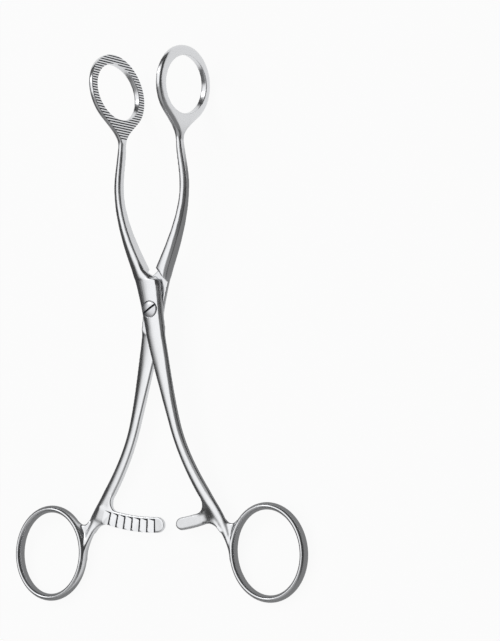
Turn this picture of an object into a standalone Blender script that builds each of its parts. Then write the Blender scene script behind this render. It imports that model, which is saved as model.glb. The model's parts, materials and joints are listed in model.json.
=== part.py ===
"""Tissue forceps with a screw lap joint, fenestrated oval jaws, a ratchet and finger rings.

Two forged arms cross at one slotted screw. They are the same forging turned half round about
the long axis, apart from their ratchet bars: the lower arm's bar is long, the upper arm's short.
The part is drawn in the instrument's own frame, in metres: the screw's axis is Z through the
origin, Y runs along the instrument towards the jaws, X runs across it. A parent empty then lays
it down on the ground, on the lower rims of its jaws and the undersides of its rings.
"""
import math

import bmesh
import bpy
from mathutils import Matrix, Vector, geometry

# Clearances
CUT_CLEARANCE = 0.0003        # a running gap, measured square to the surfaces
MESH_OVERLAP = 0.0004         # how far a cutter runs past the metal that it cuts

# Jaws: an oval plate on edge, with an oval window
JAW_CENTRE_Y = 0.0810         # screw to the middle of the window
JAW_FACE_X = 0.0136           # instrument's middle plane to the gripping face, as drawn open
JAW_LEAN = math.radians(6.4)  # the jaws lean outwards when open, and meet tips first
WINDOW_DEPTH = 0.0266         # long way of the window, along Z
WINDOW_LENGTH = 0.0210        # short way of the window, along the arm
RIM_WIDTH = 0.0036
JAW_THICKNESS = 0.0024
JAW_EDGE_CHAMFER = 0.0003
JAW_WALL_HEIGHT = 0.0012      # the upright part of the rim, before its back rounds over
JAW_BACK_ROUND = 0.0021       # how far the rounded back reaches in from the rim
JAW_TAIL_ROUND_SHARE = 0.3    # the slender tail takes this share of the rim's rounding
STEM_DEPTH = 0.0032           # the neck below the jaw, along Z
JAW_TAIL_START = math.radians(140.0)  # round the oval from its tip, where the tail leaves it
TAIL_STEP = 0.0001            # how far the jaw's tail stands proud of the neck, all round
SERRATION_PITCH = 0.00097
SERRATION_WIDTH = 0.00062
SERRATION_DEPTH = 0.00026
SERRATION_TOP_MARGIN = 0.0007     # from the jaw's tip down to the first groove
SERRATION_FOOT_MARGIN = 0.0016    # from the last groove down to the end of the jaw's tail

# Upper shanks: they bow outwards between the joint and the jaws
NECK_Y = 0.0615               # where the jaw's tail ends
NECK_SLOPE = 0.02
BOW_Y = 0.0450
BOW_X = 0.0143
CROTCH_Y = 0.0148
CROTCH_X = 0.0054
CROTCH_SLOPE = 0.46
BOW_WIDTH = 0.0027
CROTCH_WIDTH = 0.0052
BOW_DEPTH = 0.0032
HEEL_WIDTH = 0.0014           # the shank's own end, hidden inside the jaw
HEEL_DEPTH_IN_RIM = RIM_WIDTH / 3

# How fast the arm's width changes along Y, and how the lap plate's edges lean
CROTCH_FLARE = -0.15
LAP_END_FLARE = 0.05
WAIST_FLARE = 0.03
SWEEP_FLARE = -0.06
OUTER_EDGE_LEAN_AT_CROTCH = -0.33
OUTER_EDGE_LEAN = -0.2
HOLLOW_LEAN_AT_CROTCH = -0.9
HOLLOW_LEAN_AT_CORNER = -2.6
INNER_EDGE_LEAN_AT_CORNER = -0.13
INNER_EDGE_LEAN = -0.08
INNER_EDGE_LEAN_AT_LAP_END = -0.12

# Edges: a broad bevel outside, and a narrow one inside
BROAD_BEVEL = 0.0012
NARROW_BEVEL = 0.0005
LAP_EDGE_BEVEL = 0.0002       # along the lower shank's flat side, whose edges are nearly sharp
BEVEL_SHARE = 0.34            # no bevel takes more than this share of a narrow section

# Lap joint: the upper arm keeps the top layer, the lower arm the bottom layer
LAP_LAYER = 0.0026            # thickness of each half of the lap
PLATE_OUTER_WALL = 0.0006     # the metal left beside the screw's head, on the outer side
PLATE_INNER_WALL = 0.0013     # and on the inner side, which carries the broad bevel
PLATE_CORNER_X = 0.0034       # the plate's upper inside corner
PLATE_CORNER_Y = 0.0109
SHOULDER_DISTANCE = 0.0114    # screw to the plane of the shoulder's face
SHOULDER_ANGLE = math.radians(141.5)  # direction from the screw square to that face
LAP_END_Y = -0.0100
LAP_END_X = 0.0020
LAP_END_SLOPE = 0.22
LAP_END_WIDTH = 0.0074

# Screw: its head is let into the plate, and only its dome stands proud
SCREW_HEAD_DIAMETER = 0.0058
SCREW_HEAD_HEIGHT = 0.0011
SCREW_DOME_HEIGHT = 0.0004
SCREW_BODY_DIAMETER = 0.0036
SLOT_WIDTH = 0.0008
SLOT_DEPTH = 0.0008
SLOT_ANGLE = math.radians(33.0)

# Lower shanks: they run side by side, one above the other, and sweep out to the rings
WAIST_Y = -0.0420
WAIST_X = 0.0098
WAIST_SLOPE = 0.28
WAIST_WIDTH = 0.0041
SWEEP_RISE = 0.0107           # from the bars' outer edge up to the steepest part of the sweep
SWEEP_X = 0.0239
SWEEP_SLOPE = 0.70
SWEEP_WIDTH = 0.0054
LOWER_SHANK_THICKNESS = 0.0030

# Finger rings
RING_CENTRE_X = 0.0466
RING_DROP = 0.0071            # from the bars' outer edge down to the middle of the rings
RING_OPENING_WIDTH = 0.0258
RING_OPENING_LENGTH = 0.0298
RING_WIRE_WIDTH = 0.0027
RING_WIRE_DEPTH = 0.0048
RING_LEAN = math.radians(6.5)
RING_ROOT_WIDTH = 0.0020      # the shank's end, hidden inside the ring's wire
RING_ROOT_DEPTH = 0.0038

# Ratchet: two bars bent round the screw's axis, one above the other
RATCHET_RADIUS = 0.0806       # to the bars' outer edges
LONG_BAR_WIDTH = 0.0057
SHORT_BAR_WIDTH = 0.0046
LONG_BAR_REACH = 0.0028       # the lower arm's bar runs this far past the middle plane
SHORT_BAR_REACH = 0.0095      # the upper arm's bar stops this far short of it
BAR_TIP_TURN = math.radians(84.0)  # the bar's round end stops just short of a point
TOOTH_PITCH = 0.0033
TOOTH_DEPTH = 0.0007
TOOTH_CREST = 0.0001          # the ramps are cut as if they began this far above the crests
TOOTH_FACE = 0.0008           # how far a tooth's steep face leans along the bar
LONG_END_PAD = 0.0034
SHORT_END_PAD = 0.0030

# Webs: the forging's inside corners in plan are filled to these radii
RING_NOTCH_RADIUS = 0.0024
BAR_TOP_RADIUS = 0.0034
BAR_FOOT_RADIUS = 0.0060
NOTCH_WEB_THICKNESS = 0.0013
BAR_WEB_THICKNESS = 0.0023
WEB_SINK = 0.0006             # how far a web runs into the metal that it joins
WEB_LIFT = 0.0004             # a web's underside stays this far above the shank's own

# Fineness of the curves
RING_STEPS = 48
WIRE_STEPS = 12
OVAL_STEPS = 56
TAIL_STEPS = 8
BACK_STEPS = 3
ROUND_STEPS = 32
FACET_TURN = 0.5              # in steps: keeps the facets' corners off the section lines
SHANK_STEPS = 62
CORNER_STEPS = 5
PLATE_STEPS = 4
FILLET_STEPS = 8
TIP_STEPS = 6
DOME_STEPS = 4
EDGE_STEPS = 60
RING_EDGE_STEPS = 240
SOLVER_ROUNDS = 30
SHARP_ANGLE = math.radians(35.0)
WELD_DISTANCE = 0.000001      # points of a spun profile closer than this become one

HALF_GAP = CUT_CLEARANCE / 2
PLATE_OUTER_X = SCREW_HEAD_DIAMETER / 2 + CUT_CLEARANCE + PLATE_OUTER_WALL
PLATE_INNER_X = SCREW_HEAD_DIAMETER / 2 + CUT_CLEARANCE + PLATE_INNER_WALL
LAP_TOP = HALF_GAP + LAP_LAYER
SWEEP_Y = -RATCHET_RADIUS + SWEEP_RISE
RING_CENTRE_Y = -RATCHET_RADIUS - RING_DROP


def clear_scene():
    """Remove whatever the file was opened with."""
    for thing in list(bpy.data.objects):
        bpy.data.objects.remove(thing, do_unlink=True)


def hermite(y, start, end):
    """Smooth curve between two knots (y, value, slope per unit of y)."""
    span = end[0] - start[0]
    t = (y - start[0]) / span
    first = (1 + 2 * t) * (1 - t) ** 2 * start[1] + t * (1 - t) ** 2 * start[2] * span
    second = t * t * (3 - 2 * t) * end[1] + t * t * (t - 1) * end[2] * span
    return first + second


def along(y, knots):
    """Value at y of the smooth curve through knots that run from high y to low y."""
    for start, end in zip(knots, knots[1:]):
        if y >= end[0]:
            return hermite(y, start, end)
    return hermite(y, knots[-2], knots[-1])


def jaw_place(height, out=0.0):
    """Plan position on the upper arm's jaw: height above the window's middle, out from its face."""
    x = -JAW_FACE_X - height * math.sin(JAW_LEAN) + out * math.cos(JAW_LEAN)
    y = JAW_CENTRE_Y + height * math.cos(JAW_LEAN) + out * math.sin(JAW_LEAN)
    return x, y


def oval_half_depth():
    return WINDOW_DEPTH / 2 + RIM_WIDTH


def oval_half_length():
    return WINDOW_LENGTH / 2 + RIM_WIDTH


def tail_end_height():
    """Height, from the window's middle, at which the jaw's tail ends in the neck."""
    return (NECK_Y - JAW_CENTRE_Y) / math.cos(JAW_LEAN)


def centre_knots():
    """The upper arm's centre line as (y, x, slope), from inside the jaw's rim to the ring."""
    heel_x, heel_y = jaw_place(-oval_half_length() + HEEL_DEPTH_IN_RIM, -JAW_THICKNESS / 2)
    neck_x, _ = jaw_place(tail_end_height(), -JAW_THICKNESS / 2)
    ring_side = RING_CENTRE_X - RING_OPENING_WIDTH / 2 - RING_WIRE_WIDTH / 2
    return [
        (heel_y, heel_x, -math.tan(JAW_LEAN)),
        (NECK_Y, neck_x, NECK_SLOPE),
        (BOW_Y, -BOW_X, 0.0),
        (CROTCH_Y, -CROTCH_X, -CROTCH_SLOPE),
        (LAP_END_Y, LAP_END_X, -LAP_END_SLOPE),
        (WAIST_Y, WAIST_X, -WAIST_SLOPE),
        (SWEEP_Y, SWEEP_X, -SWEEP_SLOPE),
        (RING_CENTRE_Y - RING_WIRE_WIDTH, ring_side, 0.0),
    ]


def width_knots():
    """The arm's width across, measured along X."""
    knots = centre_knots()
    return [
        (knots[0][0], HEEL_WIDTH, 0.0),
        (NECK_Y, JAW_THICKNESS - 2 * TAIL_STEP, 0.0),
        (BOW_Y, BOW_WIDTH, 0.0),
        (CROTCH_Y, CROTCH_WIDTH, CROTCH_FLARE),
        (LAP_END_Y, LAP_END_WIDTH, LAP_END_FLARE),
        (WAIST_Y, WAIST_WIDTH, WAIST_FLARE),
        (SWEEP_Y, SWEEP_WIDTH, SWEEP_FLARE),
        (knots[-1][0], RING_ROOT_WIDTH, 0.0),
    ]


def top_knots():
    """The height of the arm's top face above the middle plane."""
    knots = centre_knots()
    shank_top = HALF_GAP + LOWER_SHANK_THICKNESS
    return [
        (knots[0][0], STEM_DEPTH / 2, 0.0),
        (NECK_Y, STEM_DEPTH / 2, 0.0),
        (BOW_Y, BOW_DEPTH / 2, 0.0),
        (CROTCH_Y, LAP_TOP, 0.0),
        (LAP_END_Y, LAP_TOP, 0.0),
        (WAIST_Y, shank_top, 0.0),
        (SWEEP_Y, shank_top, 0.0),
        (knots[-1][0], RING_ROOT_DEPTH / 2, 0.0),
    ]


def bottom_knots():
    """The height of the arm's lower face. The lap's flat is cut at half the gap afterwards."""
    knots = centre_knots()
    return [
        (knots[0][0], -STEM_DEPTH / 2, 0.0),
        (NECK_Y, -STEM_DEPTH / 2, 0.0),
        (BOW_Y, -BOW_DEPTH / 2, 0.0),
        (CROTCH_Y, -LAP_TOP, 0.0),
        (0.0, -LAP_TOP, 0.0),
        (WAIST_Y, CUT_CLEARANCE, 0.0),
        (ratchet_clear_y(), CUT_CLEARANCE, 0.0),
        (knots[-1][0], -RING_ROOT_DEPTH / 2, 0.0),
    ]


def left_bevel_knots():
    """The bevel along the arm's left edges: broad beside the jaw, narrow below the joint."""
    return [(BOW_Y, BROAD_BEVEL, 0.0), (CROTCH_Y, BROAD_BEVEL, 0.0), (0.0, NARROW_BEVEL, 0.0),
            (LAP_END_Y, NARROW_BEVEL, 0.0), (SWEEP_Y, NARROW_BEVEL, 0.0)]


def right_bevel_knots():
    """The bevel along the arm's right edges: narrow beside the jaw, broad from the plate down."""
    return [(BOW_Y, NARROW_BEVEL, 0.0), (CROTCH_Y, NARROW_BEVEL, 0.0),
            (PLATE_CORNER_Y, BROAD_BEVEL, 0.0), (LAP_END_Y, BROAD_BEVEL, 0.0),
            (SWEEP_Y, BROAD_BEVEL, 0.0)]


def along_within(y, knots):
    """Value of the curve at y, held at its end values beyond its ends."""
    return along(min(max(y, knots[-1][0]), knots[0][0]), knots)


def ratchet_clear_y():
    """Below this the arm is outside the ratchet bars' sweep, so it may come down to the ring."""
    outer = RATCHET_RADIUS + CUT_CLEARANCE
    y = -outer
    for _ in range(SOLVER_ROUNDS):
        x = along(y, centre_knots())
        y = -math.sqrt(outer ** 2 - x ** 2)
    return y


def arm_edges(y):
    """Left and right edge of the upper arm at y, with the lap plate between crotch and lap end."""
    centre = along(y, centre_knots())
    half = along(y, width_knots()) / 2
    if not LAP_END_Y < y < CROTCH_Y:
        return centre - half, centre + half
    crotch_left, crotch_right = -CROTCH_X - CROTCH_WIDTH / 2, -CROTCH_X + CROTCH_WIDTH / 2
    end_left, end_right = LAP_END_X - LAP_END_WIDTH / 2, LAP_END_X + LAP_END_WIDTH / 2
    left = along(y, [(CROTCH_Y, crotch_left, OUTER_EDGE_LEAN_AT_CROTCH),
                     (0.0, -PLATE_OUTER_X, OUTER_EDGE_LEAN),
                     (LAP_END_Y, end_left, OUTER_EDGE_LEAN)])
    if y > PLATE_CORNER_Y:
        right = along(y, [(CROTCH_Y, crotch_right, HOLLOW_LEAN_AT_CROTCH),
                          (PLATE_CORNER_Y, PLATE_CORNER_X, HOLLOW_LEAN_AT_CORNER)])
    else:
        right = along(y, [(PLATE_CORNER_Y, PLATE_CORNER_X, INNER_EDGE_LEAN_AT_CORNER),
                          (0.0, PLATE_INNER_X, INNER_EDGE_LEAN),
                          (LAP_END_Y, end_right, INNER_EDGE_LEAN_AT_LAP_END)])
    return left, right


def bevelled_section(y):
    """Eight corners of the arm's section at y, as (x, z), counter-clockwise seen from -Y."""
    left, right = arm_edges(y)
    bottom, top = along(y, bottom_knots()), along(y, top_knots())
    most = min(right - left, top - bottom) * BEVEL_SHARE
    on_left = min(along_within(y, left_bevel_knots()), most)
    on_right = min(along_within(y, right_bevel_knots()), most)
    limit = most if y >= 0 else LAP_EDGE_BEVEL
    under_left, under_right = min(on_left, limit), min(on_right, limit)
    return [
        (right - under_right, bottom), (right, bottom + under_right),
        (right, top - on_right), (right - on_right, top),
        (left + on_left, top), (left, top - on_left),
        (left, bottom + under_left), (left + under_left, bottom),
    ]


def loft(mesh, rings):
    """Skin closed rings of points one after the other, and cap both ends."""
    rows = [[mesh.verts.new(point) for point in ring] for ring in rings]
    count = len(rows[0])
    for one, two in zip(rows, rows[1:]):
        for i in range(count):
            j = (i + 1) % count
            mesh.faces.new((one[i], one[j], two[j], two[i]))
    mesh.faces.new(list(reversed(rows[0])))
    mesh.faces.new(rows[-1])


def finish_mesh(name, mesh):
    """Turn a bmesh into an object whose faces point outwards."""
    bmesh.ops.recalc_face_normals(mesh, faces=mesh.faces)
    data = bpy.data.meshes.new(name)
    mesh.to_mesh(data)
    mesh.free()
    thing = bpy.data.objects.new(name, data)
    bpy.context.collection.objects.link(thing)
    return thing


def arm_stations():
    """The y of each section: even steps, and steps of its own for the plate and its hollow corner."""
    knots = centre_knots()
    high, low = knots[0][0], knots[-1][0]
    spacing = (high - low) / SHANK_STEPS
    plate = [PLATE_CORNER_Y + (CROTCH_Y - PLATE_CORNER_Y) * i / CORNER_STEPS
             for i in range(CORNER_STEPS, 0, -1)]
    plate += [PLATE_CORNER_Y * i / PLATE_STEPS for i in range(PLATE_STEPS, 0, -1)]
    plate += [LAP_END_Y * i / PLATE_STEPS for i in range(PLATE_STEPS + 1)]
    stations = [high - spacing * i for i in range(SHANK_STEPS + 1)]
    above = [y for y in stations if y > plate[0] + spacing / 2]
    below = [y for y in stations if y < plate[-1] - spacing / 2]
    return above + plate + below


def shank_loft(name):
    """The whole length of one arm, from the jaw's heel to the ring's side."""
    mesh = bmesh.new()
    loft(mesh, [[(x, y, z) for x, z in bevelled_section(y)] for y in arm_stations()])
    return finish_mesh(name, mesh)


def jaw_outline(inset):
    """Half depth of the jaw's outer edge for each height, from the tip down to the tail's end."""
    half_depth, half_length = oval_half_depth() - inset, oval_half_length() - inset
    tail = STEM_DEPTH / 2 + TAIL_STEP - inset * JAW_TAIL_ROUND_SHARE
    leave_depth = half_depth * math.sin(JAW_TAIL_START)
    leave_height = half_length * math.cos(JAW_TAIL_START)
    leave_slope = half_depth / half_length / -math.tan(JAW_TAIL_START)
    points = []
    steps = OVAL_STEPS // 2
    for i in range(steps + 1):
        angle = JAW_TAIL_START * i / steps
        points.append((half_depth * math.sin(angle), half_length * math.cos(angle)))
    end_height = tail_end_height()
    for i in range(1, TAIL_STEPS + 1):
        height = leave_height + (end_height - leave_height) * i / TAIL_STEPS
        depth = hermite(height, (leave_height, leave_depth, leave_slope), (end_height, tail, 0.0))
        points.append((depth, height))
    return points


def closed_outline(inset):
    """The jaw's whole outer edge, mirrored about its middle line."""
    right = jaw_outline(inset)
    left = [(-depth, height) for depth, height in reversed(right[1:])]
    return right + left


def window_outline(outset, count, outer):
    """The window's edge, with one point on the ray to each point of the outer edge."""
    half_depth, half_length = WINDOW_DEPTH / 2 + outset, WINDOW_LENGTH / 2 + outset
    points = []
    for i in range(count):
        depth, height = outer[i]
        angle = math.atan2(depth / half_depth, height / half_length)
        points.append((half_depth * math.sin(angle), half_length * math.cos(angle)))
    return points


def rim_profile():
    """(inset, distance behind the gripping face) of the rim: a wall that rounds over to the back."""
    cut = JAW_EDGE_CHAMFER
    profile = [(cut, 0.0), (0.0, cut)]
    for i in range(BACK_STEPS + 1):
        turn = math.pi / 2 * i / BACK_STEPS
        profile.append((JAW_BACK_ROUND * (1 - math.cos(turn)),
                        JAW_WALL_HEIGHT + (JAW_THICKNESS - JAW_WALL_HEIGHT) * math.sin(turn)))
    return profile


def window_profile():
    """The same for the window's edge: straight through, with both edges chamfered."""
    cut = JAW_EDGE_CHAMFER
    return [(cut, 0.0), (0.0, cut), (0.0, JAW_THICKNESS - cut), (cut, JAW_THICKNESS)]


def jaw_plate(name):
    """The oval plate with its window, standing on edge: flat in front, with a rounded back."""
    full_outer = closed_outline(0.0)
    count = len(full_outer)
    mesh = bmesh.new()
    loops = []
    for inset, back in rim_profile():
        loops.append([jaw_vertex(mesh, point, back) for point in closed_outline(inset)])
    for inset, back in reversed(window_profile()):
        inner = window_outline(inset, count, full_outer)
        loops.append([jaw_vertex(mesh, point, back) for point in inner])
    loops.append(loops[0])
    for one, two in zip(loops, loops[1:]):
        for i in range(count):
            j = (i + 1) % count
            mesh.faces.new((one[i], one[j], two[j], two[i]))
    return finish_mesh(name, mesh)


def jaw_vertex(mesh, point, back):
    depth, height = point
    x, y = jaw_place(height, -back)
    return mesh.verts.new((x, y, depth))


def serration_comb(name):
    """One V-shaped cutter for each groove across the gripping face."""
    mesh = bmesh.new()
    first = oval_half_length() - SERRATION_TOP_MARGIN
    last = tail_end_height() + SERRATION_FOOT_MARGIN
    count = int((first - last) / SERRATION_PITCH) + 1
    reach = oval_half_depth() + MESH_OVERLAP
    for i in range(count):
        middle = first - i * SERRATION_PITCH
        proud = MESH_OVERLAP
        half = SERRATION_WIDTH / 2 * (1 + proud / SERRATION_DEPTH)
        corners = [jaw_place(middle - half, proud), jaw_place(middle + half, proud),
                   jaw_place(middle, -SERRATION_DEPTH)]
        loft(mesh, [[(x, y, -reach) for x, y in corners], [(x, y, reach) for x, y in corners]])
    return finish_mesh(name, mesh)


def finger_ring(name):
    """The oval ring, with an oval section that is deeper than it is wide."""
    mesh = bmesh.new()
    half_width = (RING_OPENING_WIDTH + RING_WIRE_WIDTH) / 2
    half_length = (RING_OPENING_LENGTH + RING_WIRE_WIDTH) / 2
    rows = []
    for i in range(RING_STEPS):
        angle = 2 * math.pi * i / RING_STEPS
        outward = Vector((half_length * math.cos(angle), half_width * math.sin(angle)))
        outward.normalize()
        row = []
        for k in range(WIRE_STEPS):
            turn = 2 * math.pi * (k + 0.5) / WIRE_STEPS
            out = RING_WIRE_WIDTH / 2 * math.cos(turn)
            up = RING_WIRE_DEPTH / 2 * math.sin(turn)
            x = half_width * math.cos(angle) + outward.x * out
            y = half_length * math.sin(angle) + outward.y * out
            row.append(mesh.verts.new((x, y, up)))
        rows.append(row)
    for i in range(RING_STEPS):
        one, two = rows[i], rows[(i + 1) % RING_STEPS]
        for k in range(WIRE_STEPS):
            n = (k + 1) % WIRE_STEPS
            mesh.faces.new((one[k], one[n], two[n], two[k]))
    place = Matrix.Translation((RING_CENTRE_X, RING_CENTRE_Y, 0)) @ Matrix.Rotation(RING_LEAN, 4, "Z")
    bmesh.ops.transform(mesh, matrix=place, verts=mesh.verts)
    return finish_mesh(name, mesh)


def bar_root_angle(radius):
    """Direction, from -Y, in which the arm's centre line crosses a circle round the screw."""
    y = -radius
    for _ in range(SOLVER_ROUNDS):
        x = along(y, centre_knots())
        y = -math.sqrt(radius ** 2 - x ** 2)
    return math.atan2(x, -y)


def ratchet_bar(name, reach, width):
    """One bar of the upper arm, plain so far: an arc round the screw with a round end."""
    radius = RATCHET_RADIUS - width / 2
    half = width / 2
    tip = reach / radius
    rings = []
    for angle in bar_angles(bar_root_angle(radius), tip + half / radius):
        rings.append(bar_section(radius, angle, half, HALF_GAP, LAP_TOP))
    for i in range(1, TIP_STEPS + 1):
        turn = BAR_TIP_TURN * i / TIP_STEPS
        angle = tip + half / radius * (1 - math.sin(turn))
        rings.append(bar_section(radius, angle, half * math.cos(turn), HALF_GAP, LAP_TOP))
    mesh = bmesh.new()
    loft(mesh, rings)
    return finish_mesh(name, mesh)


def bar_angles(start, end):
    """Even steps of about one tooth between two directions."""
    steps = max(1, round(abs(start - end) * RATCHET_RADIUS / TOOTH_PITCH))
    return [start + (end - start) * i / steps for i in range(steps + 1)]


def bar_section(radius, angle, half, bottom, top):
    """Four corners of a section square to an arc round the screw."""
    corners = []
    for reach, z in ((radius - half, bottom), (radius + half, bottom),
                     (radius + half, top), (radius - half, top)):
        corners.append((reach * math.sin(angle), -reach * math.cos(angle), z))
    return corners


def tooth_cutter(name, reach, pad, width):
    """Cuts the ratchet teeth into the bar's lower face: one long saw-tooth wedge."""
    radius = RATCHET_RADIUS - width / 2
    step, face = TOOTH_PITCH / radius, TOOTH_FACE / radius
    first = (reach + pad) / radius
    room = bar_root_angle(radius) - SWEEP_WIDTH / 2 / radius - first
    mesh = bmesh.new()
    rings = []
    for i in range(int(room / step)):
        start = first + i * step
        for angle, depth in ((start, -TOOTH_CREST), (start + face, TOOTH_DEPTH)):
            rings.append(bar_section(radius, angle, width / 2 + MESH_OVERLAP,
                                     HALF_GAP - 2 * MESH_OVERLAP, HALF_GAP + depth))
    rings.append(bar_section(radius, first + int(room / step) * step, width / 2 + MESH_OVERLAP,
                             HALF_GAP - 2 * MESH_OVERLAP, HALF_GAP - TOOTH_CREST))
    loft(mesh, rings)
    return finish_mesh(name, mesh)


def bar_edge(radius, start, end):
    """Plan points along a circle round the screw, between two angles from -Y."""
    points = []
    for i in range(EDGE_STEPS + 1):
        angle = start + (end - start) * i / EDGE_STEPS
        points.append(Vector((radius * math.sin(angle), -radius * math.cos(angle))))
    return points


def shank_edge(side, high, low):
    """Plan points along the arm's left (0) or right (1) edge, going down."""
    points = []
    for i in range(EDGE_STEPS + 1):
        y = high + (low - high) * i / EDGE_STEPS
        points.append(Vector((arm_edges(y)[side], y)))
    return points


def ring_edge():
    """Plan points round the ring's outer edge."""
    half_width = RING_OPENING_WIDTH / 2 + RING_WIRE_WIDTH
    half_length = RING_OPENING_LENGTH / 2 + RING_WIRE_WIDTH
    turn = Matrix.Rotation(RING_LEAN, 2)
    centre = Vector((RING_CENTRE_X, RING_CENTRE_Y))
    points = []
    for i in range(RING_EDGE_STEPS + 1):
        angle = 2 * math.pi * i / RING_EDGE_STEPS
        oval = Vector((half_width * math.cos(angle), half_length * math.sin(angle)))
        points.append(centre + turn @ oval)
    return points


def shifted(points, distance):
    """The same line moved sideways, to its left for a positive distance."""
    moved = []
    for i, point in enumerate(points):
        ahead = points[min(i + 1, len(points) - 1)] - points[max(i - 1, 0)]
        side = Vector((-ahead.y, ahead.x)).normalized()
        moved.append(point + side * distance)
    return moved


def crossing(one, two):
    """First point where two plan lines cross."""
    for a, b in zip(one, one[1:]):
        for c, d in zip(two, two[1:]):
            point = geometry.intersect_line_line_2d(a, b, c, d)
            if point is not None:
                return point
    return None


def nearest(points, place):
    return min(points, key=lambda point: (point - place).length)


def corner_web(name, one, one_side, two, two_side, radius, thickness):
    """Fill the inside corner between two edges with a prism that ends in a round of this radius."""
    corner = crossing(one, two)
    centre = crossing(shifted(one, one_side * radius), shifted(two, two_side * radius))
    first, last = nearest(one, centre), nearest(two, centre)
    start = math.atan2(first.y - centre.y, first.x - centre.x)
    sweep = math.atan2(last.y - centre.y, last.x - centre.x) - start
    sweep = (sweep + math.pi) % (2 * math.pi) - math.pi
    outline = []
    for i in range(FILLET_STEPS + 1):
        angle = start + sweep * i / FILLET_STEPS
        outline.append(centre + radius * Vector((math.cos(angle), math.sin(angle))))
    for place in (last, corner, first):
        outline.append(place + (place - centre).normalized() * WEB_SINK)
    low, high = CUT_CLEARANCE + WEB_LIFT, CUT_CLEARANCE + thickness
    mesh = bmesh.new()
    loft(mesh, [[(point.x, point.y, z) for point in outline] for z in (low, high)])
    return finish_mesh(name, mesh)


def arm_webs(width):
    """The three webs of one arm: beside the ring, and above and below the ratchet bar's root."""
    low = centre_knots()[-1][0]
    root = bar_root_angle(RATCHET_RADIUS)
    past_edge = root + SWEEP_WIDTH / RATCHET_RADIUS
    upper_edge = bar_edge(RATCHET_RADIUS - width, past_edge, 0.0)
    lower_edge = bar_edge(RATCHET_RADIUS, past_edge, 0.0)
    left, right = shank_edge(0, WAIST_Y, low), shank_edge(1, WAIST_Y, low)
    yield corner_web("notch_web", right, 1, ring_edge(), -1, RING_NOTCH_RADIUS, NOTCH_WEB_THICKNESS)
    yield corner_web("top_web", left, -1, upper_edge, -1, BAR_TOP_RADIUS, BAR_WEB_THICKNESS)
    yield corner_web("foot_web", left, -1, lower_edge, 1, BAR_FOOT_RADIUS, BAR_WEB_THICKNESS)


def cylinder(name, diameter, bottom, top):
    mesh = bmesh.new()
    turns = [2 * math.pi * (i + FACET_TURN) / ROUND_STEPS for i in range(ROUND_STEPS)]
    circle = [(diameter / 2 * math.cos(turn), diameter / 2 * math.sin(turn)) for turn in turns]
    loft(mesh, [[(x, y, bottom) for x, y in circle], [(x, y, top) for x, y in circle]])
    return finish_mesh(name, mesh)


def lap_cutter(name):
    """Takes away the other arm's layer, from the shoulder down to the ring."""
    width = 2 * (RATCHET_RADIUS + RING_CENTRE_X)
    depth = 2 * LAP_TOP
    length = lap_cut_length()
    mesh = bmesh.new()
    bmesh.ops.create_cube(mesh, size=1.0)
    place = (Matrix.Rotation(SHOULDER_ANGLE, 4, "Z")
             @ Matrix.Translation((SHOULDER_DISTANCE - length / 2, 0, HALF_GAP - depth / 2))
             @ Matrix.Diagonal((length, width, depth, 1.0)))
    bmesh.ops.transform(mesh, matrix=place, verts=mesh.verts)
    return finish_mesh(name, mesh)


def lap_cut_length():
    """The cut ends where the arm leaves the sweep of the ratchet bars."""
    y = ratchet_clear_y()
    x = along(y, centre_knots())
    return SHOULDER_DISTANCE - x * math.cos(SHOULDER_ANGLE) - y * math.sin(SHOULDER_ANGLE)


def combine(target, other, operation):
    """Apply one Boolean at once and delete the second object."""
    modifier = target.modifiers.new(operation.lower(), "BOOLEAN")
    modifier.operation = operation
    modifier.solver = "EXACT"
    modifier.object = other
    graph = bpy.context.evaluated_depsgraph_get()
    result = bpy.data.meshes.new_from_object(target.evaluated_get(graph))
    target.modifiers.clear()
    target.data = result
    bpy.data.objects.remove(other, do_unlink=True)


def steel(name, colour, roughness):
    material = bpy.data.materials.new(name)
    material.use_nodes = True
    shader = material.node_tree.nodes["Principled BSDF"]
    shader.inputs["Base Color"].default_value = (*colour, 1.0)
    shader.inputs["Metallic"].default_value = 1.0
    shader.inputs["Roughness"].default_value = roughness
    return material


def finish_steel(thing, material):
    """Give a finished solid its steel, and shade its round faces smooth."""
    thing.data.name = thing.name
    thing.data.materials.clear()
    thing.data.materials.append(material)
    thing.data.shade_smooth()
    thing.data.set_sharp_from_angle(angle=SHARP_ANGLE)


def screw_seat():
    """The height of the face under the screw's head."""
    return LAP_TOP - SCREW_HEAD_HEIGHT


def sink_head(body):
    """Let the screw's head into the upper arm's plate, with the running gap all round it."""
    recess = SCREW_HEAD_DIAMETER + 2 * CUT_CLEARANCE
    combine(body, cylinder("recess", recess, screw_seat() - CUT_CLEARANCE, 2 * LAP_TOP), "DIFFERENCE")


def arm(name, reach, pad, width, head_sunk):
    """One whole arm, shaped as the upper one, with its ratchet bar of this reach and width."""
    body = shank_loft(name)
    combine(body, lap_cutter("lap_cutter"), "DIFFERENCE")
    hole = SCREW_BODY_DIAMETER + 2 * CUT_CLEARANCE
    combine(body, cylinder("hole", hole, -LAP_TOP, 2 * LAP_TOP), "DIFFERENCE")
    if head_sunk:
        sink_head(body)
    combine(body, jaw_plate("jaw"), "UNION")
    combine(body, finger_ring("ring"), "UNION")
    combine(body, ratchet_bar("bar", reach, width), "UNION")
    for web in arm_webs(width):
        combine(body, web, "UNION")
    combine(body, tooth_cutter("teeth", reach, pad, width), "DIFFERENCE")
    combine(body, serration_comb("comb"), "DIFFERENCE")
    return body


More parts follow.
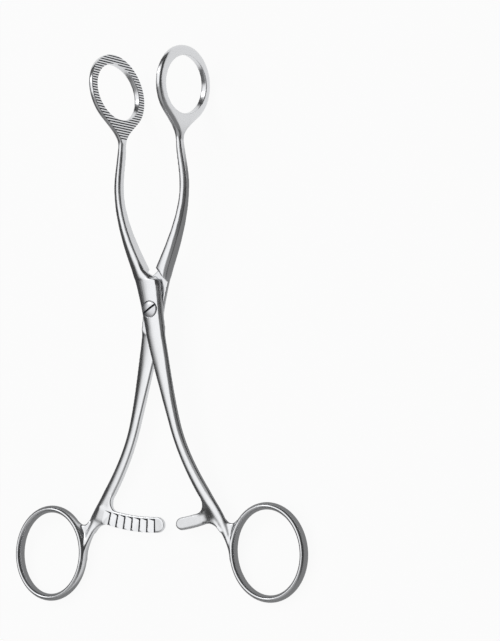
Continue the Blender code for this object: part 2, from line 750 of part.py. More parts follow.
def pivot_screw():
    """Slotted screw: a sunk, domed head in the upper arm, and a plain body through both arms."""
    radius = SCREW_HEAD_DIAMETER / 2
    body_radius = SCREW_BODY_DIAMETER / 2
    profile = [(0.0, -LAP_TOP), (body_radius, -LAP_TOP), (body_radius, screw_seat()),
               (radius, screw_seat()), (radius, LAP_TOP)]
    for i in range(1, DOME_STEPS + 1):
        share = i / DOME_STEPS
        profile.append((radius * (1 - share), LAP_TOP + SCREW_DOME_HEIGHT * (1 - (1 - share) ** 2)))
    mesh = bmesh.new()
    turn = 2 * math.pi * FACET_TURN / ROUND_STEPS
    verts = [mesh.verts.new((r * math.cos(turn), r * math.sin(turn), z)) for r, z in profile]
    edges = [mesh.edges.new(pair) for pair in zip(verts, verts[1:])]
    bmesh.ops.spin(mesh, geom=verts + edges, cent=(0, 0, 0), axis=(0, 0, 1),
                   angle=2 * math.pi, steps=ROUND_STEPS, use_merge=True)
    bmesh.ops.remove_doubles(mesh, verts=mesh.verts, dist=WELD_DISTANCE)
    screw = finish_mesh("pivot_screw", mesh)
    top = LAP_TOP + SCREW_DOME_HEIGHT
    slot = bmesh.new()
    bmesh.ops.create_cube(slot, size=1.0)
    place = (Matrix.Rotation(SLOT_ANGLE, 4, "Z")
             @ Matrix.Translation((0, 0, top - SLOT_DEPTH + top / 2))
             @ Matrix.Diagonal((2 * SCREW_HEAD_DIAMETER, SLOT_WIDTH, top, 1.0)))
    bmesh.ops.transform(slot, matrix=place, verts=slot.verts)
    combine(screw, finish_mesh("slot", slot), "DIFFERENCE")
    return screw


def lay_down(things):
    """Tilt the instrument until jaws and rings both touch the ground, and stand it at zero."""
    points = [vertex.co.copy() for thing in things for vertex in thing.data.vertices]
    jaws = [point for point in points if point.y > 0]
    rings = [point for point in points if point.y < 0]
    tilt = 0.0
    for _ in range(SOLVER_ROUNDS):
        turn = Matrix.Rotation(tilt, 3, "X")
        jaw_low = min(jaws, key=lambda point: (turn @ point).z)
        ring_low = min(rings, key=lambda point: (turn @ point).z)
        tilt = math.atan2(ring_low.z - jaw_low.z, jaw_low.y - ring_low.y)
    turn = Matrix.Rotation(tilt, 3, "X")
    turned = [turn @ point for point in points]
    lowest = min(point.z for point in turned)
    middle_x = (min(point.x for point in turned) + max(point.x for point in turned)) / 2
    middle_y = (min(point.y for point in turned) + max(point.y for point in turned)) / 2
    lying = bpy.data.objects.new("lying", None)
    bpy.context.collection.objects.link(lying)
    lying.location = (-middle_x, -middle_y, -lowest)
    lying.rotation_euler = (tilt, 0, 0)
    for thing in things:
        thing.parent = lying


def main():
    clear_scene()
    polished = steel("polished_steel", (0.62, 0.63, 0.65), 0.22)
    screw_steel = steel("screw_steel", (0.55, 0.56, 0.58), 0.30)
    upper = arm("upper_arm", SHORT_BAR_REACH, SHORT_END_PAD, SHORT_BAR_WIDTH, True)
    lower = arm("lower_arm", -LONG_BAR_REACH, LONG_END_PAD, LONG_BAR_WIDTH, False)
    lower.data.transform(Matrix.Rotation(math.pi, 4, "Y"))
    screw = pivot_screw()
    finish_steel(upper, polished)
    finish_steel(lower, polished)
    finish_steel(screw, screw_steel)
    lay_down([upper, lower, screw])


main()
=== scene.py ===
# %% [markdown]
# # Tissue forceps in polished steel
#
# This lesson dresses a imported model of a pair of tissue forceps. The real instrument is two forged
# arms of stainless steel that cross at one slotted screw. Each arm ends in an oval jaw with a window
# and cross serrations, and in a finger ring. Two short bars between the rings form a ratchet.
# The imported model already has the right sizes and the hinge. Here each arm gets a fine surface, with
# the soft inside corners of a forging and the crisp edges that a polisher leaves.

import json
import math

import bmesh
import bpy
from mathutils import Matrix, Vector, geometry


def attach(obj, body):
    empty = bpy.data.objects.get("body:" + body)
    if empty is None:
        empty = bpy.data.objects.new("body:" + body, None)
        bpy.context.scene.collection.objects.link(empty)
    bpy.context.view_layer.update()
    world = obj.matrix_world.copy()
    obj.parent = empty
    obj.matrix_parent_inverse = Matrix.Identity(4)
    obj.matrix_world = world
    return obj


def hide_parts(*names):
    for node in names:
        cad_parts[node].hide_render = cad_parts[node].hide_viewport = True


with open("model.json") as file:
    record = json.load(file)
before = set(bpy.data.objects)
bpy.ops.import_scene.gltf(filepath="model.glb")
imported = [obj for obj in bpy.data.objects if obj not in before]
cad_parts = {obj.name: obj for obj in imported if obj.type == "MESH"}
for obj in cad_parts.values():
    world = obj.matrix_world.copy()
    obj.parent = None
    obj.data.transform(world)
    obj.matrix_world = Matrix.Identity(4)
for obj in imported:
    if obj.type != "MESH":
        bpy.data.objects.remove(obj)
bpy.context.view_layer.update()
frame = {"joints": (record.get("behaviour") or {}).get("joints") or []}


# %% [markdown]
# ## Where the instrument lies
#
# The sizes below are easiest to read in the instrument's own frame, in millimetres: the screw is at
# zero, Y runs towards the jaws and Z along the screw. The forceps lie on the rims of their jaws and on
# their rings, so that frame is tilted a little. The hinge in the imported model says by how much, so one
# matrix, taken from it, carries every millimetre to its place in the world.

# %% From the instrument's millimetres to the world
hinge = frame["joints"][0]
tilt = math.atan2(-hinge["axis"][1], hinge["axis"][2])
lying = Matrix.Translation(Vector(hinge["pos_m"])) @ Matrix.Rotation(tilt, 4, "X")
to_world = lying @ Matrix.Scale(0.001, 4)
print("The instrument lies at a tilt of", round(math.degrees(tilt), 2), "degrees")

# %% [markdown]
# ## Colours and nodes
#
# A colour picker gives sRGB values, but a shader works in linear light. One function turns a hex
# colour into linear values, and one small function adds a node with its settings and links.

# %% Colour and node helpers


def linear(hex_colour):
    """sRGB hex to linear RGBA."""
    channels = [int(hex_colour[i:i + 2], 16) / 255 for i in (1, 3, 5)]
    curve = [c / 12.92 if c <= 0.04045 else ((c + 0.055) / 1.055) ** 2.4 for c in channels]
    return (*curve, 1.0)


def add(tree, kind, settings=None, links=None, **values):
    """Add one node: settings are its properties, values its sockets, links come from other sockets."""
    node = tree.nodes.new(kind)
    for name, value in (settings or {}).items():
        setattr(node, name, value)
    for name, value in values.items():
        node.inputs[name.replace("_", " ")].default_value = value
    for name, source in (links or {}).items():
        tree.links.new(source, node.inputs[name])
    return node


def new_material(name):
    """An empty node material with its output node."""
    material = bpy.data.materials.new(name)
    material.use_nodes = True
    material.node_tree.nodes.clear()
    return material, material.node_tree, add(material.node_tree, "ShaderNodeOutputMaterial")


# %% [markdown]
# ## Polished stainless steel
#
# Surgical stainless is forged, ground and then polished on a felt wheel. The eye reads it by two
# things: near-mirror reflections with soft edges, and very fine lines that follow the arm, because the
# wheel runs along it. The base colour is the pale, almost neutral grey of a chromium steel. The lines
# on a real instrument are about 0.05 mm apart, too fine to show here, so they are drawn 0.35 mm apart.
# A slow change of roughness stands for the places where handling and washing have dulled the polish.
# The screw and the machined grooves are the same steel with another finish, and the grooves' steel is
# darkened with painted shade, so one function makes all three from a colour, a range of roughness and
# the spacing of the lines.

# %% Steel finishes
LINE_STRETCH = 40                    # a line is this many times as long as it is wide
LINE_DEPTH = 0.004                   # mm
WEAR = 9.0                           # mm between duller places


def lined_steel(name, colour, low, high, line_mm):
    """Chromium steel with lines along Y; low and high are the ends of its roughness."""
    material, tree, output = new_material(name)
    place = add(tree, "ShaderNodeTexCoord")
    across, along_arm = 1000 / line_mm, 1000 / (line_mm * LINE_STRETCH)
    stretch = add(tree, "ShaderNodeMapping", Scale=(across, along_arm, across),
                  links={"Vector": place.outputs["Object"]})
    lines = add(tree, "ShaderNodeTexNoise", Scale=1.0, Detail=3.0,
                links={"Vector": stretch.outputs["Vector"]})
    wear = add(tree, "ShaderNodeTexNoise", Scale=1000 / WEAR, Detail=4.0, Roughness=0.6,
               links={"Vector": place.outputs["Object"]})
    both = add(tree, "ShaderNodeMix", {"data_type": "FLOAT"}, Factor=0.35)
    tree.links.new(wear.outputs["Fac"], both.inputs[2])
    tree.links.new(lines.outputs["Fac"], both.inputs[3])
    rough = add(tree, "ShaderNodeMapRange", From_Min=0.3, From_Max=0.7, To_Min=low, To_Max=high,
                links={"Value": both.outputs[0]})
    bump = add(tree, "ShaderNodeBump", Strength=0.35, Distance=LINE_DEPTH / 1000,
               links={"Height": lines.outputs["Fac"]})
    steel = add(tree, "ShaderNodeBsdfPrincipled", Base_Color=linear(colour), Metallic=1.0,
                links={"Roughness": rough.outputs["Result"], "Normal": bump.outputs["Normal"]})
    tree.links.new(steel.outputs["BSDF"], output.inputs["Surface"])
    return material


# Felt-wheel polish: soft mirror images, which turn every ridge of the arm into a thin line
arm_steel = lined_steel("polished_stainless_steel", "#DADBDD", 0.16, 0.30, 0.35)
# Turned on a lathe and left satin: the head looks a little darker than the plate round it
screw_steel = lined_steel("turned_stainless_steel", "#CDCED1", 0.24, 0.36, 0.25)
# Milled and never polished, so rougher; its dark colour is painted shade, for light lost between walls
milled_steel_painted_shade = lined_steel("milled_stainless_steel_painted_shade", "#4F5155", 0.40, 0.50, 0.25)
print("Steels:", arm_steel.name, screw_steel.name, milled_steel_painted_shade.name)

# %% [markdown]
# ## Camera
#
# The instrument is seen from above and a little from its right side, about 31 degrees off the plane's
# normal, from 0.83 m away. That is a long lens, so the far ring is hardly smaller than the near one.
# The angles and the point looked at were matched to the drawn outline.

# %% Camera
CAMERA_SIDE = math.radians(31.0)     # towards the instrument's right
CAMERA_LOW = math.radians(4.23)      # towards its rings
CAMERA_ROLL = math.radians(-1.03)
CAMERA_DISTANCE = 832.3              # mm
CAMERA_TARGET = Vector((40.80, -6.165, 0.0))
PIXELS_PER_MM = 2.832                # at the target
SENSOR = 36.0
LONG_SIDE = 641                      # pixels on the picture's long side

back = Vector((math.sin(CAMERA_SIDE) * math.cos(CAMERA_LOW), -math.sin(CAMERA_LOW),
               math.cos(CAMERA_SIDE) * math.cos(CAMERA_LOW)))
level_right = Vector((0, 1, 0)).cross(back).normalized()
level_up = back.cross(level_right)
right = math.cos(CAMERA_ROLL) * level_right + math.sin(CAMERA_ROLL) * level_up
up = -math.sin(CAMERA_ROLL) * level_right + math.cos(CAMERA_ROLL) * level_up
eye = CAMERA_TARGET + back * CAMERA_DISTANCE
axes = Matrix((right, up, back)).transposed().to_4x4()

camera_data = bpy.data.cameras.new("camera")
camera_data.sensor_width = SENSOR
camera_data.lens = PIXELS_PER_MM * CAMERA_DISTANCE * SENSOR / LONG_SIDE
camera_data.clip_start, camera_data.clip_end = 0.01, 20.0
camera = bpy.data.objects.new("camera", camera_data)
bpy.context.scene.collection.objects.link(camera)
camera.matrix_world = lying @ Matrix.Translation(eye * 0.001) @ axes
bpy.context.scene.camera = camera
print("Lens in mm:", round(camera_data.lens, 1))

# %% [markdown]
# ## The shape of an arm
#
# Both arms are the same forging, one turned half round about its length, apart from the ratchet bar.
# A forging like this is drawn from a few sizes: where its centre line runs, how wide and how thick it
# is at the neck, the bow, the joint, the waist and the sweep. Smooth curves between those places give
# the section anywhere, so the same functions can feed a coarse solid or, as here, a fine surface.
# The sizes come first, all in one cell, because the pieces share them.

# %% Sizes in millimetres
GAP = 0.3                            # running gap between the arms
HALF_GAP = GAP / 2
LAP_TOP = HALF_GAP + 2.6             # middle plane to the outer face of the lap plate
JAW_Y, JAW_FACE_X, JAW_LEAN = 81.0, 13.6, math.radians(6.4)
WINDOW_DEPTH, WINDOW_LENGTH, RIM = 26.6, 21.0, 3.58
JAW_THICKNESS, TAIL_START = 2.4, math.radians(140.0)
TAIL_OVER, TAIL_EASE = 0.1, 0.8      # the jaw's tail beside the stem, and how far its edge eases
STEM_DEPTH, BOW_DEPTH, END_DEPTH = 3.2, 3.2, 3.8
HEEL_WIDTH, NECK_WIDTH, BOW_WIDTH, END_WIDTH = 1.4, JAW_THICKNESS - 0.2, 2.7, 2.0
PITCH, GROOVE_WIDTH, GROOVE_DEPTH = 0.97, 0.50, 0.26
NECK_Y, BOW_Y, BOW_X, CROTCH_Y, CROTCH_X = 61.5, 45.0, 14.3, 14.8, 5.4
PLATE_CORNER_X, PLATE_CORNER_Y, PLATE_OUTER_X, PLATE_INNER_X = 3.4, 10.9, 3.8, 4.5
LAP_END_X, LAP_END_Y, LAP_END_WIDTH, CROTCH_WIDTH = 2.0, -10.0, 7.4, 5.2
SHOULDER_DISTANCE, SHOULDER_ANGLE = 11.4, math.radians(141.5)
WAIST_X, WAIST_Y, WAIST_WIDTH = 9.8, -42.0, 4.1
SWEEP_X, SWEEP_Y, SWEEP_WIDTH, SHANK_THICKNESS = 23.9, -69.9, 5.4, 3.0
RING_X, RING_Y, RING_WIDTH, RING_LENGTH = 46.6, -87.7, 25.8, 29.8
WIRE_WIDTH, WIRE_DEPTH, RING_LEAN = 2.7, 4.8, math.radians(6.5)
WIRE_FLANK = 1.2                     # 1 gives an oval section, more gives straighter flanks
WIRE_FIT = 0.96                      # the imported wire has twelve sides; the fine one stays inside it
RATCHET_RADIUS = 80.6
BARS = {"upper_arm": (4.6, 9.5, 3.0), "lower_arm": (5.7, -2.8, 3.4)}   # width, reach, end pad
TOOTH_PITCH, TOOTH_DEPTH, TOOTH_FACE = 3.3, 0.7, 1.1
TOOTH_RIM = 0.7                      # plain edge left beside the teeth
BAR_TOP = 1.9                        # middle plane to the bar's outer face
ROOT_RISE, ROOT_RISE_LENGTH = 1.0, 5.5   # a bar thickens towards the shank that carries it
CROWN = 0.06                         # rise of a broad face, as a share of its width
HEAD_DIAMETER, HEAD_HEIGHT, BODY_DIAMETER, DOME = 5.8, 1.1, 3.6, 0.4
print("The jaw's window is", WINDOW_DEPTH, "by", WINDOW_LENGTH, "mm")

# %% [markdown]
# ## Curves along the arm
#
# Each size of the section changes smoothly along the arm, as the hammer and the grinding belt leave it.
# A knot gives a place along Y, the value there and its slope. A cubic between two knots meets both
# values and both slopes, so the surface has no kink at a knot. Straight lines would show as facets in
# polished steel.

# %% Curves along the arm


def hermite(y, start, end):
    """Smooth curve between two knots (y, value, slope per unit of y)."""
    span = end[0] - start[0]
    t = (y - start[0]) / span
    first = (1 + 2 * t) * (1 - t) ** 2 * start[1] + t * (1 - t) ** 2 * start[2] * span
    return first + t * t * (3 - 2 * t) * end[1] + t * t * (t - 1) * end[2] * span


def along(y, knots):
    """Value at y of the smooth curve through knots that run from high y to low y."""
    for start, end in zip(knots, knots[1:]):
        if y >= end[0]:
            return hermite(y, start, end)
    return hermite(y, knots[-2], knots[-1])


def held(y, knots):
    """The same, held at its end values beyond its ends."""
    return along(min(max(y, knots[-1][0]), knots[0][0]), knots)


def jaw_place(height, out=0.0):
    """Plan position on the jaw: height above the window's middle, out from its gripping face."""
    x = -JAW_FACE_X - height * math.sin(JAW_LEAN) + out * math.cos(JAW_LEAN)
    return x, JAW_Y + height * math.cos(JAW_LEAN) + out * math.sin(JAW_LEAN)


OVAL_HALF_DEPTH, OVAL_HALF_LENGTH = WINDOW_DEPTH / 2 + RIM, WINDOW_LENGTH / 2 + RIM
TAIL_END = (NECK_Y - JAW_Y) / math.cos(JAW_LEAN)
HEEL_X, HEEL_Y = jaw_place(-OVAL_HALF_LENGTH + RIM / 3, -JAW_THICKNESS / 2)
NECK_X = jaw_place(TAIL_END, -JAW_THICKNESS / 2)[0]
RING_SIDE = RING_X - RING_WIDTH / 2 - WIRE_WIDTH / 2
END_Y = RING_Y - WIRE_WIDTH
CENTRE = [(HEEL_Y, HEEL_X, -math.tan(JAW_LEAN)), (NECK_Y, NECK_X, 0.02), (BOW_Y, -BOW_X, 0.0),
          (CROTCH_Y, -CROTCH_X, -0.46), (LAP_END_Y, LAP_END_X, -0.22),
          (WAIST_Y, WAIST_X, -0.28), (SWEEP_Y, SWEEP_X, -0.70), (END_Y, RING_SIDE, 0.0)]
WIDTH = [(HEEL_Y, HEEL_WIDTH, 0.0), (NECK_Y, NECK_WIDTH, 0.0), (BOW_Y, BOW_WIDTH, 0.0),
         (CROTCH_Y, CROTCH_WIDTH, -0.15), (LAP_END_Y, LAP_END_WIDTH, 0.05),
         (WAIST_Y, WAIST_WIDTH, 0.03), (SWEEP_Y, SWEEP_WIDTH, -0.06), (END_Y, END_WIDTH, 0.0)]
SHANK_TOP = HALF_GAP + SHANK_THICKNESS
TOP = [(HEEL_Y, STEM_DEPTH / 2, 0.0), (NECK_Y, STEM_DEPTH / 2, 0.0), (BOW_Y, BOW_DEPTH / 2, 0.0),
       (CROTCH_Y, LAP_TOP, 0.0), (LAP_END_Y, LAP_TOP, 0.0), (WAIST_Y, SHANK_TOP, 0.0),
       (SWEEP_Y, SHANK_TOP, 0.0), (END_Y, END_DEPTH / 2, 0.0)]


def circle_crossing(radius):
    """Where the arm's centre line crosses a circle round the screw, below it."""
    y = -radius
    for _ in range(30):
        x = along(y, CENTRE)
        y = -math.sqrt(radius ** 2 - x ** 2)
    return x, y


CLEAR_X, CLEAR_Y = circle_crossing(RATCHET_RADIUS + GAP)
BOTTOM = [(HEEL_Y, -STEM_DEPTH / 2, 0.0), (NECK_Y, -STEM_DEPTH / 2, 0.0),
          (BOW_Y, -BOW_DEPTH / 2, 0.0), (CROTCH_Y, -LAP_TOP, 0.0), (0.0, -LAP_TOP, 0.0),
          (LAP_END_Y, HALF_GAP, 0.0), (WAIST_Y, GAP, 0.0), (CLEAR_Y, GAP, 0.0),
          (END_Y, -END_DEPTH / 2, 0.0)]
print("The arm runs from y =", round(HEEL_Y, 1), "to", round(END_Y, 1), "mm")

# %% [markdown]
# ## Bevels
#
# A polisher eases every long edge of the shank, more on the outer side than on the inner one. The
# eased edge is what the eye follows along the arm, because it mirrors another part of the room than
# the face beside it. So each of the four edges has its own curve of widths.

# %% Bevels
# Knots are (y, width, slope), and steepness is drop per width
LEFT_TOP = [(BOW_Y, 1.9, 0.0), (CROTCH_Y, 1.9, 0.0), (0.0, 1.2, 0.0), (-20.0, 0.8, 0.0),
            (SWEEP_Y, 0.8, 0.0)]
RIGHT_TOP = [(BOW_Y, 0.8, 0.0), (CROTCH_Y, 0.8, 0.0), (PLATE_CORNER_Y, 1.2, 0.0),
             (SWEEP_Y, 1.2, 0.0)]
LEFT_BOTTOM = [(BOW_Y, 1.2, 0.0), (CROTCH_Y, 1.2, 0.0), (0.0, 0.2, 0.0), (LAP_END_Y, 0.2, 0.0),
               (-22.0, 0.5, 0.0), (SWEEP_Y, 0.5, 0.0)]
RIGHT_BOTTOM = [(BOW_Y, 0.5, 0.0), (CROTCH_Y, 0.5, 0.0), (0.0, 0.2, 0.0), (LAP_END_Y, 1.0, -0.08),
                (-22.0, 1.5, 0.0), (SWEEP_Y, 1.7, -0.08), (END_Y, 2.6, 0.0)]
SHALLOW, STEEP = 0.38, 0.70
HOLLOW_STEEP = 1.2                   # in the plate's hollow corner, where the edge faces the jaws
RIGHT_TOP_STEEP = [(BOW_Y, STEEP, 0.0), (18.0, STEEP, 0.0), (CROTCH_Y, HOLLOW_STEEP, 0.0),
                   (PLATE_CORNER_Y, HOLLOW_STEEP, 0.0), (8.0, STEEP, 0.0), (SWEEP_Y, STEEP, 0.0)]
BEVEL_SHARE, DROP_SHARE = 0.40, 0.36   # the most of the arm's width and depth that one bevel takes
CROWN_SHARE = 0.1                    # the most of the depth that a crown takes
LEAN_LIMIT = 2.6                     # the plate's short end would stretch a bevel without a limit
print("Bevels are", min(SHALLOW, STEEP), "to", HOLLOW_STEEP, "deep for each millimetre of width")

# %% [markdown]
# ## From curves to a fine surface
#
# The shank is a loft: a section with eight corners and two crowned faces every half millimetre,
# skinned from one to the next.
# The jaw is an oval plate with a window, the ring is an oval wire, and the ratchet bar is an arc round
# the screw. On the real arm these flow into each other, because they were forged from one bar. Bevel
# modifiers fail where such curved pieces meet, so the pieces are first fused by a voxel remesh, which
# turns several closed meshes into one skin, and the skin is then relaxed where the fillets are.

# %% Mesh helpers


def new_object(name, mesh):
    """Turn a bmesh in instrument millimetres into an object."""
    bmesh.ops.recalc_face_normals(mesh, faces=mesh.faces)
    data = bpy.data.meshes.new(name)
    mesh.to_mesh(data)
    mesh.free()
    thing = bpy.data.objects.new(name, data)
    bpy.context.scene.collection.objects.link(thing)
    return thing


def loft(mesh, rings, closed=False):
    """Skin closed rings of points one after the other; cap the ends, or join them."""
    rows = [[mesh.verts.new(point) for point in ring] for ring in rings]
    count = len(rows[0])
    pairs = list(zip(rows, rows[1:])) + ([(rows[-1], rows[0])] if closed else [])
    for one, two in pairs:
        for i in range(count):
            j = (i + 1) % count
            mesh.faces.new((one[i], one[j], two[j], two[i]))
    if not closed:
        mesh.faces.new(list(reversed(rows[0])))
        mesh.faces.new(rows[-1])


def bake(thing):
    """Apply the object's modifiers to its mesh."""
    graph = bpy.context.evaluated_depsgraph_get()
    result = bpy.data.meshes.new_from_object(thing.evaluated_get(graph))
    thing.modifiers.clear()
    thing.data = result


def cut(target, cutter):
    """Take the cutter away from the target, exactly, and delete the cutter."""
    modifier = target.modifiers.new("cut", "BOOLEAN")
    modifier.operation, modifier.solver, modifier.object = "DIFFERENCE", "EXACT", cutter
    modifier.material_mode = "TRANSFER"
    bake(target)
    bpy.data.objects.remove(cutter, do_unlink=True)


def block(name, place):
    """A unit cube put in place by a matrix."""
    mesh = bmesh.new()
    bmesh.ops.create_cube(mesh, size=1.0)
    bmesh.ops.transform(mesh, matrix=place, verts=mesh.verts)
    return new_object(name, mesh)


def cylinder(name, diameter, bottom, top, steps=96):
    """A closed cylinder on the screw's axis."""
    mesh = bmesh.new()
    circle = [(diameter / 2 * math.cos(2 * math.pi * i / steps),
               diameter / 2 * math.sin(2 * math.pi * i / steps)) for i in range(steps)]
    loft(mesh, [[(x, y, z) for x, y in circle] for z in (bottom, top)])
    return new_object(name, mesh)


# %% [markdown]
# ## Shank
#
# The shank has a broad bevel on its outer side and a narrow one on its inner side. The polisher leaves
# them as ridges, which catch the light as thin lines along the whole arm. At the joint the plan widens
# into a plate with a hollow corner, where the other arm's shoulder passes. Half of the thickness is
# milled away below that plate, up to a slanting shoulder, to make room for the other arm. A block does
# that cut, and a wedge eases the shoulder's edge.

# %% Shank loft
CHAMFER_WIDTH, CHAMFER_RISE = 0.7, 0.32
CHAMFER_ENDS = (-14.0, 4.0)          # along the shoulder, from its point nearest the screw
CUT_MARGIN = 0.3                     # how far a cutter stands out of what it cuts
CUT_WIDTH = 260.0                    # wider than the whole arm is long


def plan_edges(y):
    """Left and right edge of the arm at y, with the lap plate between crotch and lap end."""
    centre, half = along(y, CENTRE), along(y, WIDTH) / 2
    if not LAP_END_Y < y < CROTCH_Y:
        return centre - half, centre + half
    left = along(y, [(CROTCH_Y, -CROTCH_X - CROTCH_WIDTH / 2, -0.33), (0.0, -PLATE_OUTER_X, -0.2),
                     (LAP_END_Y, LAP_END_X - LAP_END_WIDTH / 2, -0.2)])
    if y > PLATE_CORNER_Y:
        return left, along(y, [(CROTCH_Y, -CROTCH_X + CROTCH_WIDTH / 2, -0.9),
                               (PLATE_CORNER_Y, PLATE_CORNER_X, -2.6)])
    return left, along(y, [(PLATE_CORNER_Y, PLATE_CORNER_X, -0.13), (0.0, PLATE_INNER_X, -0.08),
                           (LAP_END_Y, LAP_END_X + LAP_END_WIDTH / 2, -0.12)])


def shank_section(y, steps=6):
    """The section at y as (x, y, z): four bevels, and slightly crowned faces above and below."""
    left, right_edge = plan_edges(y)
    bottom, top = along(y, BOTTOM), along(y, TOP)
    wide, deep = right_edge - left, top - bottom

    def bevel(knots, steep, side):
        """Its width along X and its drop: it keeps its width square to an edge that leans in plan."""
        near = 0.05
        lean = (plan_edges(y + near)[side] - plan_edges(y - near)[side]) / (2 * near)
        stretch = math.sqrt(1 + min(abs(lean), LEAN_LIMIT) ** 2)
        across = min(held(y, knots) * stretch, BEVEL_SHARE * wide,
                     DROP_SHARE * deep * stretch / steep)
        return across, across * steep / stretch

    a, a_drop = bevel(LEFT_TOP, SHALLOW, 0)
    b, b_drop = bevel(RIGHT_TOP, held(y, RIGHT_TOP_STEEP), 1)
    (c, c_drop), (d, d_drop) = bevel(LEFT_BOTTOM, STEEP, 0), bevel(RIGHT_BOTTOM, SHALLOW, 1)

    def crowned(start, end, level, sign):
        rise = min(CROWN * abs(end - start), CROWN_SHARE * deep)
        for i in range(steps + 1):
            share = i / steps
            yield start + (end - start) * share, level - sign * rise * (2 * share - 1) ** 2

    rise_top = min(CROWN * (wide - a - b), CROWN_SHARE * deep)
    rise_bottom = min(CROWN * (wide - c - d), CROWN_SHARE * deep)
    corners = [(right_edge, bottom + rise_bottom + d_drop), (right_edge, top - rise_top - b_drop)]
    corners += crowned(right_edge - b, left + a, top, 1)
    corners += [(left, top - rise_top - a_drop), (left, bottom + rise_bottom + c_drop)]
    corners += crowned(left + c, right_edge - d, bottom, -1)
    return [(x, y, z) for x, z in corners]


def shoulder_chamfer():
    """A wedge that eases the edge where the shoulder meets the arm's lower face."""
    near, far, level = SHOULDER_DISTANCE, SHOULDER_DISTANCE + CHAMFER_WIDTH, -LAP_TOP
    beyond = CUT_MARGIN * CHAMFER_WIDTH / CHAMFER_RISE
    corners = [(near - CUT_MARGIN, level - CUT_MARGIN), (far + beyond, level - CUT_MARGIN),
               (far, level), (near, level + CHAMFER_RISE), (near - CUT_MARGIN, level + CHAMFER_RISE)]
    mesh = bmesh.new()
    turn = Matrix.Rotation(SHOULDER_ANGLE, 4, "Z")
    loft(mesh, [[turn @ Vector((x, along_face, z)) for x, z in corners]
                for along_face in CHAMFER_ENDS])
    return new_object("chamfer", mesh)


def shank(step=0.5):
    """The whole length of one arm, with the other arm's layer cut away."""
    fixed = [CROTCH_Y, PLATE_CORNER_Y, 0.0]
    count = int((HEEL_Y - END_Y) / step)
    stations = [HEEL_Y + (END_Y - HEEL_Y) * i / count for i in range(count + 1)]
    stations = [y for y in stations if all(abs(y - place) > step / 4 for place in fixed)]
    mesh = bmesh.new()
    loft(mesh, [shank_section(y) for y in sorted(stations + fixed, reverse=True)])
    body = new_object("shank", mesh)
    length = (SHOULDER_DISTANCE - CLEAR_X * math.cos(SHOULDER_ANGLE)
              - CLEAR_Y * math.sin(SHOULDER_ANGLE))
    cut(body, block("lap", Matrix.Rotation(SHOULDER_ANGLE, 4, "Z")
                    @ Matrix.Translation((SHOULDER_DISTANCE - length / 2, 0, HALF_GAP - LAP_TOP))
                    @ Matrix.Diagonal((length, CUT_WIDTH, 2 * LAP_TOP, 1.0))))
    cut(body, shoulder_chamfer())
    return body


# %% [markdown]
# ## Jaw
#
# The jaw is an oval plate that stands on edge, with an oval window through which tissue can bulge. Its
# rim is flat on the gripping face and rounded on its back and sides, so the window's edge shines as a
# thin line. A flat plate with a Bevel modifier would give every edge the same round. Here the rim's
# section is a short list of points, carried round the oval, so the back can fall away to a crest.

# %% Jaw plate


def jaw_edge(inset, steps=90, tail_steps=30):
    """(depth, height) along half of the jaw's outer edge, mirrored to close it."""
    deep, long = OVAL_HALF_DEPTH - inset, OVAL_HALF_LENGTH - inset
    tail = STEM_DEPTH / 2 + TAIL_OVER - min(inset, TAIL_EASE)
    start = (long * math.cos(TAIL_START), deep * math.sin(TAIL_START),
             deep / long / -math.tan(TAIL_START))
    half = []
    for i in range(steps + 1):
        angle = TAIL_START * i / steps
        half.append((deep * math.sin(angle), long * math.cos(angle)))
    for i in range(1, tail_steps + 1):
        height = start[0] + (TAIL_END - start[0]) * i / tail_steps
        half.append((hermite(height, start, (TAIL_END, tail, 0.0)), height))
    return half + [(-depth, height) for depth, height in reversed(half[1:])]


def window_edge(outset, outer):
    """The window's edge, with one point on the ray to each point of the outer edge."""
    deep, long = WINDOW_DEPTH / 2 + outset, WINDOW_LENGTH / 2 + outset
    angles = [math.atan2(depth / deep, height / long) for depth, height in outer]
    return [(deep * math.sin(angle), long * math.cos(angle)) for angle in angles]


# (inset, distance behind the gripping face): a short wall, then a broad bevel to a narrow crest
OUTER_PROFILE = [(0.2, 0.0), (0.0, 0.2), (0.0, 0.7), (0.0, 1.2), (0.12, 1.55), (0.4, 1.85),
                 (0.8, 2.1), (1.3, 2.28), (1.8, 2.37), (2.3, 2.4)]
WINDOW_PROFILE = [(0.2, 0.0), (0.0, 0.2), (0.0, 1.1), (0.0, 2.0), (0.1, 2.3), (0.4, 2.4)]


def jaw():
    """The oval plate on edge: a crisp gripping face, and a back bevelled to a crest."""
    outer = jaw_edge(0.0)
    rings = [[(d, h, back_off) for d, h in jaw_edge(inset)] for inset, back_off in OUTER_PROFILE]
    rings += [[(d, h, back_off) for d, h in window_edge(inset, outer)]
              for inset, back_off in reversed(WINDOW_PROFILE)]
    placed = []
    for ring in rings:
        placed.append([(*jaw_place(height, -back_off), depth) for depth, height, back_off in ring])
    mesh = bmesh.new()
    loft(mesh, placed, closed=True)
    return new_object("jaw", mesh)


# %% [markdown]
# ## Finger ring
#
# The ring's wire is an oval, deeper than it is wide, which is kinder to a finger. A torus has a round
# wire and a round opening, so this one is skinned by hand: an oval path, with an oval section set
# square to it. The power on the section's sine and cosine straightens its flanks a little.

# %% Finger ring


